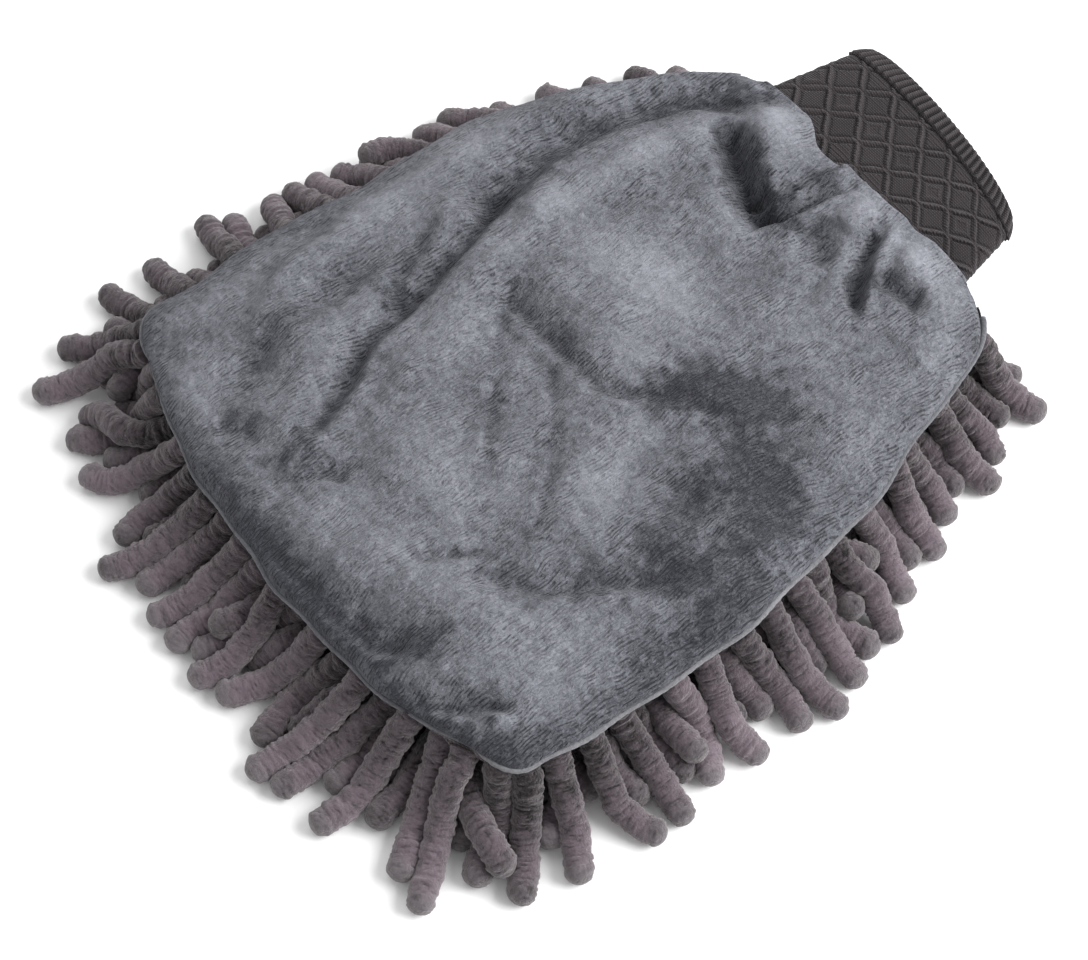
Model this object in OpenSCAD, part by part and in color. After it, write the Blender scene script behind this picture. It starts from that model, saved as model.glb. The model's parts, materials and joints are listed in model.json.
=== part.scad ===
// Wash mitt: a plush face and a chenille-fingered back sewn into a pocket, with a lining
// and a knitted cuff. It lies on its fingers, plush face up, +Y towards the cuff.
// The origin is on the surface it lies on, under the middle of its bounding box.

/* [Mitt body] */
// Width of the sewn body at its widest
body_w = 202; // [190:1:216]
// Length of the sewn body on its centre line, from the finger end to the mouth
body_l = 234; // [226:1:246]
// Width of the sewn body at the mouth
mouth_w = 104; // [102:1:110]
// Radius of the two corners at the finger end
corner_r = 18; // [14:1:26]
// How far the finger-end edge bows outwards in the middle
end_bow = 6; // [3:1:9]
// Rise of the plush face above its seam
crown = 13; // [12.5:0.5:17]
// Height of the backing cloth above the surface that the mitt lies on
backing_z = 24; // [23:0.5:27]

/* [Cloth] */
// Thickness of the plush face with its pile
plush_t = 2.6; // [1.8:0.1:2.8]
// Thickness of the backing cloth that carries the fingers
backing_t = 1.5; // [1.1:0.1:1.6]
// Thickness of the lining
lining_t = 0.7; // [0.5:0.1:0.8]

/* [Chenille fingers] */
// Diameter of one chenille finger
finger_d = 8.5; // [7.5:0.1:8.8]
// Full length of one chenille finger
finger_l = 46; // [40:1:50]
// Distance between rows of fingers
row_pitch = 12.4; // [12:0.1:12.8]
// Least distance between neighbours in a row
finger_pitch = 11; // [10.8:0.1:12.5]
// Tilt of the outermost fingers away from straight down, in degrees
splay = 68; // [60:1:70]

/* [Knit cuff] */
// Length of the cuff beyond the mouth
cuff_l = 42; // [38:1:50]
// Width of the cuff where it leaves the mouth
cuff_w = 92; // [86:1:94]
// Width of the cuff at its elastic hem
hem_w = 84; // [78:1:88]
// Thickness of the cuff lying flat, both layers and the gap between them
cuff_t = 10.4; // [9.8:0.2:10.6]
// Thickness of one knitted layer
knit_t = 1.7; // [1.3:0.1:1.8]
// Length of the folded hem
hem_l = 9; // [8:1:12]

/* [Hidden] */
rows = 18;
function row_name(i) = str("finger_row_", i < 10 ? "0" : "", i);

plush_grey = [0.45, 0.46, 0.50];
chenille_grey = [0.44, 0.41, 0.43];
knit_charcoal = [0.24, 0.22, 0.23];
lining_grey = [0.30, 0.30, 0.32];
thread_grey = [0.36, 0.35, 0.37];

layer_gap = 0.3;             // air between cloths that lie on each other
finger_r = finger_d / 2;
root_inset = 5.5;            // the outermost finger roots lie this far inside the sewn edge
lean_band = 25;              // fingers lean outwards within this distance of the edge
side_lean = 0.94;            // those at the sides lean less than those at the finger end
pressed = 1;                 // fingers straight below the mitt are pressed flat by this much

// How high a finger's root lies so that its upper rim just clears the backing
function root_z(tilt) = backing_z - finger_r * sin(tilt) - (tilt > 0 ? 0.05 : 0);
// Length from root to the centre of the round tip, which comes down to the surface
function axis_l(tilt) = min(finger_l - finger_r, (root_z(tilt) - finger_r) / cos(tilt));

bow_depth = 60;              // the bow of the finger end fades out this far up the body
tip_reach = axis_l(splay) * sin(splay) + finger_r - root_inset
            - end_bow * (1 - pow(1 - root_inset / bow_depth, 2));
front_y = tip_reach - (tip_reach + body_l + cuff_l) / 2;
end_y = front_y + end_bow;   // the finger end at its two corners
mouth_y = front_y + body_l;
hem_y = mouth_y + cuff_l;

seam_z = backing_z + 4;      // the height at which face and back are sewn together
seam_gap = layer_gap / 2;
mouth_crown = crown - 1.5;
squareness = 2.5;            // exponent of the pocket's and the cuff's rounded sections

cuff_z = backing_z + 7;      // middle of the flat cuff
hinge_y = mouth_y + 3;       // the line along which the cuff folds on the mitt
root_end = hinge_y - 4.3;    // the sewn knit ends before the fold line,
sleeve_start = hinge_y + 1.5; // and the free knit starts after it
root_back = 9;               // the knit reaches this far into the mouth, where it is sewn
lining_back = root_back + 1.6;

function clamp01(x) = max(0, min(1, x));
function lerp(a, b, t) = a + (b - a) * t;
function superellipse(u, p) = pow(max(0, 1 - pow(abs(u), p)), 1 / p);
function bezier(p, t) =
    pow(1 - t, 3) * p[0] + 3 * t * pow(1 - t, 2) * p[1]
    + 3 * t * t * (1 - t) * p[2] + pow(t, 3) * p[3];

// ---- the sewn outline: its half width at stations from the finger end to the mouth ----
corner_x = body_w / 2 - corner_r;
corner_y = end_y + corner_r;
side_curve = [[body_w / 2, corner_y], [body_w / 2 + 2, lerp(corner_y, mouth_y, 0.61)],
              [0.79 * body_w / 2, mouth_y], [mouth_w / 2, mouth_y]];
corner_steps = 4;
side_steps = 11;
stations = concat(
    [for (i = [0 : corner_steps - 1])
        let (a = -90 + 90 * i / corner_steps)
        [corner_x + corner_r * cos(a), corner_y + corner_r * sin(a)]],
    [for (i = [0 : side_steps]) bezier(side_curve, i / side_steps)]);

function half_width(y) = lookup(y, [for (s = stations) [s[1], s[0]]]);

// Across the cloth, u runs from -1 to 1 from side to side. A line across it bows towards
// the finger end, fully at the end and not at all beyond bow_depth.
function bowed(y, u) = y - end_bow * pow(1 - clamp01((y - end_y) / bow_depth), 2) * (1 - u * u);

half_columns = 8;
columns = [for (i = [-half_columns : half_columns]) sin(90 * i / half_columns)];

// A grid of points over the body, inset from the sewn edge, which ends short of the mouth.
// Its height is low at the sewn edge and goes to high within, by one of the two rules below.
function body_surface(inset, short, low, high, is_face) = [
    for (s = stations)
        let (along = (s[1] - end_y) / (mouth_y - end_y),
             y = lerp(end_y + inset, mouth_y - short, along),
             w = half_width(y) - inset)
        [for (u = columns)
            [u * w, bowed(y, u),
             lerp(low, high, is_face ? domed(s[1], u) : dished(s[1], u))]]];

// The plush face rises all the way to its middle, and less near the mouth
dome_depth = 48;
mouth_band = 30;
function domed(y, u) =
    superellipse(1 - clamp01((y - end_y) / dome_depth), squareness)
    * superellipse(u, squareness)
    * lerp(1, mouth_crown / crown, clamp01((y - mouth_y) / mouth_band + 1));

// The back is flat, and turned up to the seam along its edge
turn_depth = root_inset;
turn_u = 0.92;
function dished(y, u) =
    superellipse(1 - clamp01((y - end_y) / turn_depth), 2)
    * superellipse(max(0, (abs(u) - turn_u) / (1 - turn_u)), 2);

function face_surface(inset, short) =
    body_surface(inset, short, seam_z + seam_gap, seam_z + seam_gap + crown - inset, true);
function back_surface(z, inset, short) =
    body_surface(inset, short, seam_z - seam_gap, z, false);

// Two such grids closed into one thin shell
module cloth(upper, lower) {
    nr = len(upper);
    nc = len(upper[0]);
    n = nr * nc;
    function at(r, c) = r * nc + c;
    skin = [for (r = [0 : nr - 2], c = [0 : nc - 2])
        each [[at(r, c), at(r + 1, c + 1), at(r, c + 1)],
              [at(r, c), at(r + 1, c), at(r + 1, c + 1)]]];
    back = [for (t = skin) [n + t[0], n + t[2], n + t[1]]];
    border = concat([for (c = [0 : nc - 1]) at(0, c)],
                    [for (r = [1 : nr - 1]) at(r, nc - 1)],
                    [for (c = [nc - 2 : -1 : 0]) at(nr - 1, c)],
                    [for (r = [nr - 2 : -1 : 1]) at(r, 0)]);
    rim = [for (i = [0 : len(border) - 1])
        let (a = border[i], b = border[(i + 1) % len(border)])
        each [[a, b, n + b], [a, n + b, n + a]]];
    polyhedron([for (row = concat(upper, lower)) each row], concat(skin, back, rim));
}

module plush_panel()
    color(plush_grey)
    cloth(face_surface(0, 0), face_surface(plush_t, 0));

module top_lining() {
    outside = plush_t + layer_gap;
    color(lining_grey)
    cloth(face_surface(outside, lining_back), face_surface(outside + lining_t, lining_back));
}

module chenille_backing()
    color(chenille_grey)
    cloth(back_surface(backing_z + backing_t, backing_t, 1), back_surface(backing_z, 0, 1));

module bottom_lining() {
    outside = backing_t + 2 * layer_gap;
    z = backing_z + backing_t + 3 * layer_gap;   // room for the row stitching below it
    color(lining_grey)
    cloth(back_surface(z + lining_t, outside + lining_t, lining_back),
          back_surface(z, outside, lining_back));
}

// ---- chenille fingers ----
first_row_y = end_y + root_inset;
function row_y(i) = first_row_y + (i - 1) * row_pitch;

// How far, from 0 to 1, a finger leans to its side and towards the mouth or the finger end.
// Those below the cuff lean less, so that the cuff can fold down in front of them.
function lean(x, y) =
    let (side = clamp01((abs(x) - half_width(y) + root_inset + lean_band) / lean_band),
         front = clamp01((first_row_y + lean_band - y) / lean_band),
         back = clamp01((y - row_y(rows) + lean_band) / lean_band),
         below_cuff = abs(x) < cuff_w / 2 + finger_d / 2)
    [sign(x) * side * side_lean, back * (below_cuff ? 0.6 : 1) - front];

// One finger: its root is at the origin and it runs up +Z. The length is from its root to
// the centre of its round tip, and cut is how much of the tip is pressed off.
module finger(length, cut)
    rotate_extrude($fn = 40)
    intersection() {
        union() {
            square([finger_r, length]);
            translate([0, length]) circle(finger_r, $fn = 40);
        }
        square([finger_r, length + finger_r - cut]);
    }

module sewn_finger(x, y, sewn_y) {
    v = lean(x, y);
    tilt = splay * min(1, norm(v));
    cut = tilt > 0 ? 0 : pressed;
    translate([x, sewn_y, root_z(tilt)])
    rotate([0, 180 - tilt, tilt > 0 ? atan2(v[1], v[0]) : 0])
    finger(axis_l(tilt) + cut, cut);
}

module finger_row(i) {
    y = row_y(i);
    half = half_width(y) - root_inset;
    count = floor(2 * half / finger_pitch) + 1;
    color(chenille_grey)
    for (k = [0 : count - 1])
        let (u = 2 * k / (count - 1) - 1)
        sewn_finger(u * half, y, bowed(y, u));
}

// ---- threads ----
// A straight run of thread on the back's inner side holds each row of fingers
stitch_d = 0.5;
module row_stitching()
    color(thread_grey)
    for (i = [1 : rows])
        let (half = half_width(row_y(i)) * turn_u - 8)
        translate([-half, row_y(i), backing_z + backing_t + stitch_d / 2 + 0.1])
        rotate([0, 90, 0])
        cylinder(d = stitch_d, h = 2 * half, $fn = 16);

// A round thread along a path; a closed path joins its last ring to its first
module thread(path, d, closed, sides) {
    n = len(path);
    rings = [for (i = [0 : n - 1])
        let (before = path[closed ? (i + n - 1) % n : max(0, i - 1)],
             after = path[closed ? (i + 1) % n : min(n - 1, i + 1)],
             along = (after - before) / norm(after - before),
             across = cross(along, abs(along[2]) > 0.9 ? [0, 1, 0] : [0, 0, 1]),
             a = across / norm(across),
             b = cross(a, along))
        [for (k = [0 : sides - 1])
            path[i] + d / 2 * (cos(360 * k / sides) * a + sin(360 * k / sides) * b)]];
    walls = [for (i = [0 : closed ? n - 1 : n - 2], k = [0 : sides - 1])
        let (j = (i + 1) % n, m = (k + 1) % sides)
        each [[i * sides + k, i * sides + m, j * sides + m],
              [i * sides + k, j * sides + m, j * sides + k]]];
    ends = closed ? [] : [[for (k = [sides - 1 : -1 : 0]) k],
                          [for (k = [0 : sides - 1]) (n - 1) * sides + k]];
    polyhedron([for (r = rings) each r], concat(walls, ends));
}

// The rolled edge in which face and back are sewn together, from the mouth round to the mouth
seam_d = 1.6;
module perimeter_seam() {
    out = seam_d / 2 + 0.35;
    end_steps = 5;
    right = [for (s = stations)
        if (s[1] < mouth_y - 2)
        let (t = clamp01((corner_y - s[1]) / corner_r))
        [s[0] + out * (1 - t / 3), s[1] - out * t, seam_z]];
    left = [for (i = [len(right) - 1 : -1 : 0]) [-right[i][0], right[i][1], seam_z]];
    finger_end = [for (k = [-end_steps : end_steps])
        let (u = k / (end_steps + 1))
        [u * corner_x, bowed(end_y, u) - out, seam_z]];
    color(thread_grey) thread(concat(left, finger_end, right), seam_d, false, 8);
}

// ---- cuff ----
ring_steps = 36;
hem_corner = 7;              // radius of the cuff's corners seen from above
function signed_pow(x, p) = sign(x) * pow(abs(x), p);
function cuff_half_width(y) =
    lerp(cuff_w, hem_w, clamp01((y - mouth_y) / (cuff_l - hem_corner))) / 2
    - hem_corner * (1 - sqrt(1 - 0.99 * pow(clamp01((y - hem_y) / hem_corner + 1), 2)));

// A point round the cuff at step k, out from its outer face by n, at y
function cuff_point(k, n, y) =
    let (a = 360 * (k + 0.5) / ring_steps)
    [(cuff_half_width(y) + n) * signed_pow(cos(a), 2 / squareness), y,
     cuff_z + (cuff_t / 2 + n) * signed_pow(sin(a), 2 / squareness)];

// Sweeps an outline of [n, y] points round the cuff
module cuff_ring(outline) {
    m = len(outline);
    points = [for (k = [0 : ring_steps - 1], p = outline) cuff_point(k, p[0], p[1])];
    polyhedron(points, [for (i = [0 : ring_steps - 1], k = [0 : m - 1])
        let (j = (i + 1) % ring_steps, l = (k + 1) % m)
        each [[i * m + k, j * m + l, i * m + l],
              [i * m + k, j * m + k, j * m + l]]]);
}

module knit_tube(y0, y1)
    color(knit_charcoal)
    cuff_ring([[0, y0], [0, y1], [-knit_t, y1], [-knit_t, y0]]);

module cuff_root() knit_tube(mouth_y - root_back, root_end);
module cuff_sleeve() knit_tube(sleeve_start, hem_y - hem_l - 0.1);

// The hem is folded back on itself, which leaves a channel for the elastic
hem_layer = 1;
channel = 0.9;
hem_depth = 2 * hem_layer + channel;
hem_proud = 0.5;
channel_end = 3.5;           // the channel stops this far short of the hem's edge
module cuff_hem() {
    y0 = hem_y - hem_l;
    y1 = hem_y - channel_end;
    outer = hem_proud;
    inner = hem_proud - hem_depth;
    bend = hem_y - hem_corner;
    round_y = hem_y - 1.4;
    round_n = 0.8;
    color(knit_charcoal)
    cuff_ring([[outer, y0], [outer, bend], [outer, y1], [outer, round_y], [outer - round_n, hem_y],
               [inner + round_n, hem_y], [inner, round_y], [inner, y1], [inner, bend], [inner, y0],
               [inner + hem_layer, y0], [inner + hem_layer, bend], [inner + hem_layer, y1],
               [outer - hem_layer, y1], [outer - hem_layer, bend], [outer - hem_layer, y0]]);
}

elastic_d = 0.6;
elastic_pitch = 1.1;
module cuff_elastic()
    color(thread_grey)
    for (i = [0, 1])
        thread([for (k = [ring_steps - 1 : -1 : 0])
                   cuff_point(k, hem_proud - hem_depth / 2, hem_y - hem_l + 0.7 + elastic_pitch * i)],
               elastic_d, true, 6);

// Overlock thread that joins the knit to the lining inside the mouth
mouth_thread_d = 1.1;
module mouth_seam()
    color(thread_grey)
    thread([for (k = [ring_steps - 1 : -1 : 0])
               cuff_point(k, -knit_t / 2, mouth_y - (root_back + lining_back) / 2)],
           mouth_thread_d, true, 6);

plush_panel();
top_lining();
bottom_lining();
chenille_backing();
row_stitching();
perimeter_seam();
mouth_seam();
cuff_root();
cuff_sleeve();
cuff_hem();
cuff_elastic();
for (i = [1 : rows])
    finger_row(i);
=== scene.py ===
"""The looks of the wash mitt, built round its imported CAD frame.

Lengths are in millimetres until a mesh is made. +Y runs from the finger end to the cuff and +Z up.
"""

import json
import math

import bpy
import numpy as np
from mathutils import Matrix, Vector


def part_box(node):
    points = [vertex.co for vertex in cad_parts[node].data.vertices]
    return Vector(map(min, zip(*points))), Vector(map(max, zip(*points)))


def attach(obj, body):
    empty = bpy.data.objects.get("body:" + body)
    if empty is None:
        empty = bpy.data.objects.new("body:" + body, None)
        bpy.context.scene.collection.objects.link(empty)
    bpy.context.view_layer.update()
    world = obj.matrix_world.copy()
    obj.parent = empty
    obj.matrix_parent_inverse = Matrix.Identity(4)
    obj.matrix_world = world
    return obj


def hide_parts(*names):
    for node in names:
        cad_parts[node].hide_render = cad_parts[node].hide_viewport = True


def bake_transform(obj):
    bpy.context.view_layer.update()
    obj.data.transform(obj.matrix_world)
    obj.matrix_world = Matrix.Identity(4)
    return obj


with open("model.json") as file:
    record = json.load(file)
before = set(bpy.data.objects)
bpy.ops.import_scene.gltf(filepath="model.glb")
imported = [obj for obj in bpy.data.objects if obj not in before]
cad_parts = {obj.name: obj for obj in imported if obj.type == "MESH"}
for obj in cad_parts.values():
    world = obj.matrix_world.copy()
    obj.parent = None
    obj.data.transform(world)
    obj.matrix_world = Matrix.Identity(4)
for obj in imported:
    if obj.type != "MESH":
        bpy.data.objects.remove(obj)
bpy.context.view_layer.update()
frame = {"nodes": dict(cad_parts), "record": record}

MM = 0.001
TAU = 2 * math.pi


def box_mm(*nodes):
    """The lowest and highest corner of some CAD nodes, in millimetres."""
    lows, highs = zip(*[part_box(name) for name in nodes])
    return np.min(lows, axis=0) / MM, np.max(highs, axis=0) / MM


# ---------------------------------------------------------------- the frame's dimensions

face_low, face_high = box_mm("plush_panel")
back_low, back_high = box_mm("chenille_backing")
hem_low, hem_high = box_mm("cuff_hem")
sleeve_low, sleeve_high = box_mm("cuff_sleeve")
root_low = box_mm("cuff_root")[0]

BODY_W = face_high[0] - face_low[0]
FRONT_Y = face_low[1]
MOUTH_Y = face_high[1]
SEAM_Z = 0.5 * (face_low[2] + back_high[2])
CROWN = face_high[2] - face_low[2]
BACKING_Z = back_low[2]
HINGE_Y = frame["record"]["behaviour"]["joints"][0]["pos_m"][1] / MM
CUFF_Z = frame["record"]["behaviour"]["joints"][0]["pos_m"][2] / MM

END_BOW = 6.0                # how far the middle of the finger end bows out
END_Y = FRONT_Y + END_BOW
BOW_DEPTH = 60.0             # how far up the body that bow is felt
CORNER_R = 15.0
CORNER_LIFT = (7.5, 10.5)    # how far the left and right corners curl under and back
MOUTH_W = 104.0
BACKING_T = 1.5
LINING_T = 0.7
CUFF_SIDE_X = 50.0           # the cuff lies within this distance of the mitt's middle line
DOME_POWER = 2.3             # how square the face's pillow and the cuff's section are
CUFF_POWER = 2.7

FINGER_R = 4.35
FINGER_AXIS = 41.75          # from a finger's root to the centre of its round tip
ROWS = 18
ROW_PITCH = 12.4
FINGER_PITCH = 9.5           # closer than the CAD's solids, which may not touch
ROOT_INSET = 5.5
OUTER_BAND = 42.0            # fingers this near the edge are combed outwards
STAGGER = 3.1                # every second finger of a row is sewn on this much further back
FINGER_NODES = 10            # the balls that a finger is made of while it settles
RINGS = 92                   # rings of points along a finger, its round tip's among them
TIP_RINGS = 10
SIDES = 34


# ---------------------------------------------------------------- small tools

def clamp01(x):
    return np.clip(x, 0.0, 1.0)


def smooth(x):
    x = clamp01(x)
    return x * x * (3 - 2 * x)


def superellipse(u, power):
    return np.maximum(0.0, 1 - np.abs(u) ** power) ** (1 / power)


def bell(d, width):
    return np.exp(-(d / width) ** 2)


class Field:
    """A smooth random field: many cosine waves of about one length, in random directions."""

    def __init__(self, seed, length, count=28, spread=0.35):
        rng = np.random.default_rng(seed)
        angle = rng.uniform(0, TAU, count)
        wave = TAU / (length * rng.uniform(1 - spread, 1 + spread, count))
        self.k = np.stack([np.cos(angle) * wave, np.sin(angle) * wave])
        self.phase = rng.uniform(0, TAU, count)
        self.gain = math.sqrt(2 / count)

    def __call__(self, x, y):
        total = np.zeros(np.shape(x))
        for kx, ky, phase in zip(self.k[0], self.k[1], self.phase):
            total += np.cos(kx * x + ky * y + phase)
        return total * self.gain


def bezier(points, t):
    p = np.array(points, float)[:, :, None]
    return ((1 - t) ** 3 * p[0] + 3 * t * (1 - t) ** 2 * p[1] + 3 * t * t * (1 - t) * p[2] + t ** 3 * p[3])


# ---------------------------------------------------------------- the sewn outline

def outline_stations():
    """Half widths of the body, from the finger end to the mouth, as in the CAD model."""
    corner_x = BODY_W / 2 - CORNER_R
    corner_y = END_Y + CORNER_R
    a = np.radians(np.linspace(-90, 0, 24, endpoint=False))
    corner = np.stack([corner_x + CORNER_R * np.cos(a), corner_y + CORNER_R * np.sin(a)])
    side = bezier([(BODY_W / 2, corner_y), (BODY_W / 2 + 2, corner_y + 0.61 * (MOUTH_Y - corner_y)),
                   (0.79 * BODY_W / 2, MOUTH_Y), (MOUTH_W / 2, MOUTH_Y)], np.linspace(0, 1, 80))
    return np.concatenate([corner, side], axis=1)


STATIONS = outline_stations()


def half_width(y):
    return np.interp(y, STATIONS[1], STATIONS[0])


def side_bulge(x, y):
    """The sewn edge wanders a little from the cut: out on the left, in on the right."""
    left = 5.0 * bell(y - 34, 30) - 1.5 * bell(y - 88, 22)
    right = -4.0 * bell(y - 72, 30) + 1.5 * bell(y + 20, 35)
    wander = 0.55 * np.sin(y / 9.5 + 0.4) + 0.4 * np.sin(y / 4.9 + 2.0)
    tuck = 2.5 * smooth((-50 - y) / 45)
    return np.where(x < 0, tuck - left - wander, right - wander - tuck)


def bowed(y, u):
    """A line across the body bows towards the finger end near that end."""
    near_end = (1 - clamp01((y - END_Y) / BOW_DEPTH)) ** 2
    wander = 0.6 * np.sin(11.3 * u + 0.8) + 0.4 * np.sin(23.0 * u)
    lift = np.where(np.asarray(u) < 0, CORNER_LIFT[0], CORNER_LIFT[1]) * np.abs(u) ** 3
    return y - near_end * ((END_BOW + wander) * (1 - u * u) - lift)


def mouth_line(x):
    """How far the mouth's edge is drawn in, where folds run into it."""
    return (7.5 * bell(x + 13, 10) + 2.5 * bell(x - 5, 9) + 1.5 * bell(x - 16, 7) + 2.0 * bell(x - 27, 5)
            - 1.0 * smooth((np.abs(x) - 44) / 10) + 2.8)


# ---------------------------------------------------------------- meshes

def new_piece(name, points, *face_groups, attributes=None):
    """A mesh object from points in mm and arrays of quads or triangles, shaded smooth."""
    loops = np.concatenate([faces.ravel() for faces in face_groups])
    sizes = np.concatenate([np.full(len(faces), faces.shape[1]) for faces in face_groups])
    starts = np.concatenate([[0], np.cumsum(sizes)[:-1]])
    mesh = bpy.data.meshes.new(name)
    mesh.vertices.add(len(points))
    mesh.vertices.foreach_set("co", (np.asarray(points) * MM).astype(np.float32).ravel())
    mesh.loops.add(len(loops))
    mesh.loops.foreach_set("vertex_index", loops.astype(np.int32))
    mesh.polygons.add(len(sizes))
    mesh.polygons.foreach_set("loop_start", starts.astype(np.int32))
    mesh.update(calc_edges=True)
    mesh.polygons.foreach_set("use_smooth", np.ones(len(sizes), dtype=bool))
    for key, values in (attributes or {}).items():
        layer = mesh.attributes.new(key, "FLOAT", "POINT")
        layer.data.foreach_set("value", np.asarray(values, np.float32).ravel())
    mesh.validate()
    piece = bpy.data.objects.new(name, mesh)
    bpy.context.scene.collection.objects.link(piece)
    return piece


def grid_quads(rows, columns, closed_rows=False, closed_columns=False, first=0):
    """Quads of a grid of points stored row by row."""
    r = np.arange(rows if closed_rows else rows - 1)
    c = np.arange(columns if closed_columns else columns - 1)
    r, c = np.meshgrid(r, c, indexing="ij")
    r2 = (r + 1) % rows
    c2 = (c + 1) % columns
    quads = np.stack([r * columns + c, r * columns + c2, r2 * columns + c2, r2 * columns + c], axis=-1)
    return first + quads.reshape(-1, 4)


def border_of(rows, columns):
    """The indices round the edge of a grid, anticlockwise when rows run up and columns right."""
    bottom = np.arange(columns)
    right = np.arange(1, rows) * columns + columns - 1
    top = (rows - 1) * columns + np.arange(columns - 2, -1, -1)
    left = np.arange(rows - 2, 0, -1) * columns
    return np.concatenate([bottom, right, top, left])


def shell(name, upper, lower):
    """A closed cloth from two grids of points: its upper face, its lower face and a rim."""
    rows, columns = upper.shape[:2]
    count = rows * columns
    points = np.concatenate([upper.reshape(-1, 3), lower.reshape(-1, 3)])
    face = grid_quads(rows, columns)
    back = count + face[:, ::-1]
    edge = border_of(rows, columns)
    after = np.roll(edge, -1)
    rim = np.stack([edge + count, after + count, after, edge], axis=-1)
    return new_piece(name, points, face, back, rim)


def half_shell(name, upper, lower, attributes):
    """A closed cloth whose hidden lower face has every second row and column of its upper face."""
    rows, columns = upper.shape[:2]
    count = rows * columns
    low_rows, low_columns = lower.shape[:2]
    points = np.concatenate([upper.reshape(-1, 3), lower.reshape(-1, 3)])
    face = grid_quads(rows, columns)
    back = count + grid_quads(low_rows, low_columns)[:, ::-1]
    edge = border_of(rows, columns)
    low = count + border_of(low_rows, low_columns)
    rim = np.stack([low, np.roll(low, -1), np.roll(edge, -2)[::2], np.roll(edge, -1)[::2], edge[::2]],
                   axis=-1)
    both = {key: np.concatenate([values.ravel(), values[::2, ::2].ravel()])
            for key, values in attributes.items()}
    return new_piece(name, points, face, back, rim, attributes=both)


# ---------------------------------------------------------------- the plush face

def path_distance(x, y, path):
    """Distance from a path, which side of it, and how far along it, for arrays of x and y."""
    path = np.array(path, float)
    lengths = np.linalg.norm(np.diff(path, axis=0), axis=1)
    total = lengths.sum()
    best = np.full(x.shape, np.inf)
    side = np.zeros(x.shape)
    along = np.zeros(x.shape)
    done = 0.0
    for a, b, length in zip(path[:-1], path[1:], lengths):
        dx, dy = (b - a) / length
        t = np.clip((x - a[0]) * dx + (y - a[1]) * dy, 0, length)
        ox = x - a[0] - t * dx
        oy = y - a[1] - t * dy
        d = np.hypot(ox, oy)
        near = d < best
        best = np.where(near, d, best)
        side = np.where(near, np.sign(dx * oy - dy * ox), side)
        along = np.where(near, (done + t) / total, along)
        done += length
    return best, side, along


# The points of VALLEYS, ROLLS and the strokes below are millimetres in the frame. Many are the rounded
# output of a program that un-projected points picked on the reference; the others were set one by one.

# Each valley of the face: its path, how deep it is, how wide, how high its shoulders stand,
# and how much wider it is on its left than on its right as the path runs
VALLEYS = [
    # the long valley from the mouth's left corner down the left side, and its branches
    ([(-43, 105), (-57, 90), (-65, 72), (-68, 53), (-68, 33), (-64, 14), (-57, -4)], 6.0, 7.5, 0.3, -0.35),
    ([(-66, 26), (-62, 12), (-55, -4), (-50, -20), (-45, -38), (-42, -54), (-33, -68), (-27, -84),
      (-22, -98)], 3.6, 3.8, 0.4, -0.3),
    ([(-68, -8), (-64, -16), (-58, -28), (-50, -38)], 1.7, 3.4, 0.5, -0.2),
    ([(-68, -30), (-65, -50), (-63, -66), (-59, -80), (-52, -95)], 1.9, 5.0, 0.5, -0.2),
    ([(-82, -66), (-86, -48), (-88, -32)], 1.4, 4.0, 0.4, 0.2),
    # the pocket behind the mouth and the creases that run out of it
    ([(-42, 90), (-33, 86), (-24, 81), (-14, 77), (-4, 74), (2, 73)], 7.5, 5.2, 0.30, -0.3),
    ([(-18, 75), (-9, 80), (-6, 89), (-5, 104)], 5.0, 2.9, 0.6, 0.4),
    ([(-6, 70), (-1, 77), (0, 88), (3, 104)], 4.4, 2.6, 0.7, 0.3),
    ([(18, 108), (20, 102), (26, 91), (35, 79), (42, 72)], 4.6, 3.0, 0.6, -0.3),
    ([(6, 84), (14, 80), (22, 79)], 2.4, 6.0, 0.4, 0.0),
    ([(34, 88), (41, 90), (50, 94)], 4.0, 4.6, 0.4, 0.0),
    # faint creases across the middle
    ([(-38, -4), (-30, -9), (-16, -22), (0, -36), (14, -48), (28, -62)], 0.9, 2.4, 0.7, 0.3),
    ([(-4, -12), (11, -21), (25, -32), (38, -45), (46, -57)], 0.8, 2.4, 0.7, 0.3),
    ([(-38, -8), (-20, -7), (-6, -7), (9, -7), (19, -4), (28, 5), (38, 18)], 2.2, 4.2, 0.6, 0.4),
    ([(40, -76), (50, -68), (60, -60), (67, -46), (76, -31), (82, -16)], 1.9, 4.2, 0.5, 0.3),
    ([(28, -88), (31, -81), (36, -71)], 1.2, 2.4, 0.6, 0.0),
    # tucks along the finger end
    ([(-24, -118), (7, -115), (27, -113), (41, -110), (56, -98)], 3.2, 4.2, 0.5, 0.3),
    ([(54, -117), (66, -109), (74, -101), (83, -86)], 3.0, 3.4, 0.6, 0.3),
    ([(-16, -96), (-12, -88), (-6, -84)], 1.6, 4.0, 0.6, 0.0),
    ([(-46, -107), (-40, -100), (-34, -96)], 1.4, 4.0, 0.6, 0.0),
    ([(97, -40), (88, -34), (78, -33)], 1.2, 5.0, 0.5, 0.0),
    ([(93, 30), (80, 30), (68, 34)], 1.3, 5.0, 0.5, 0.0),
]

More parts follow.
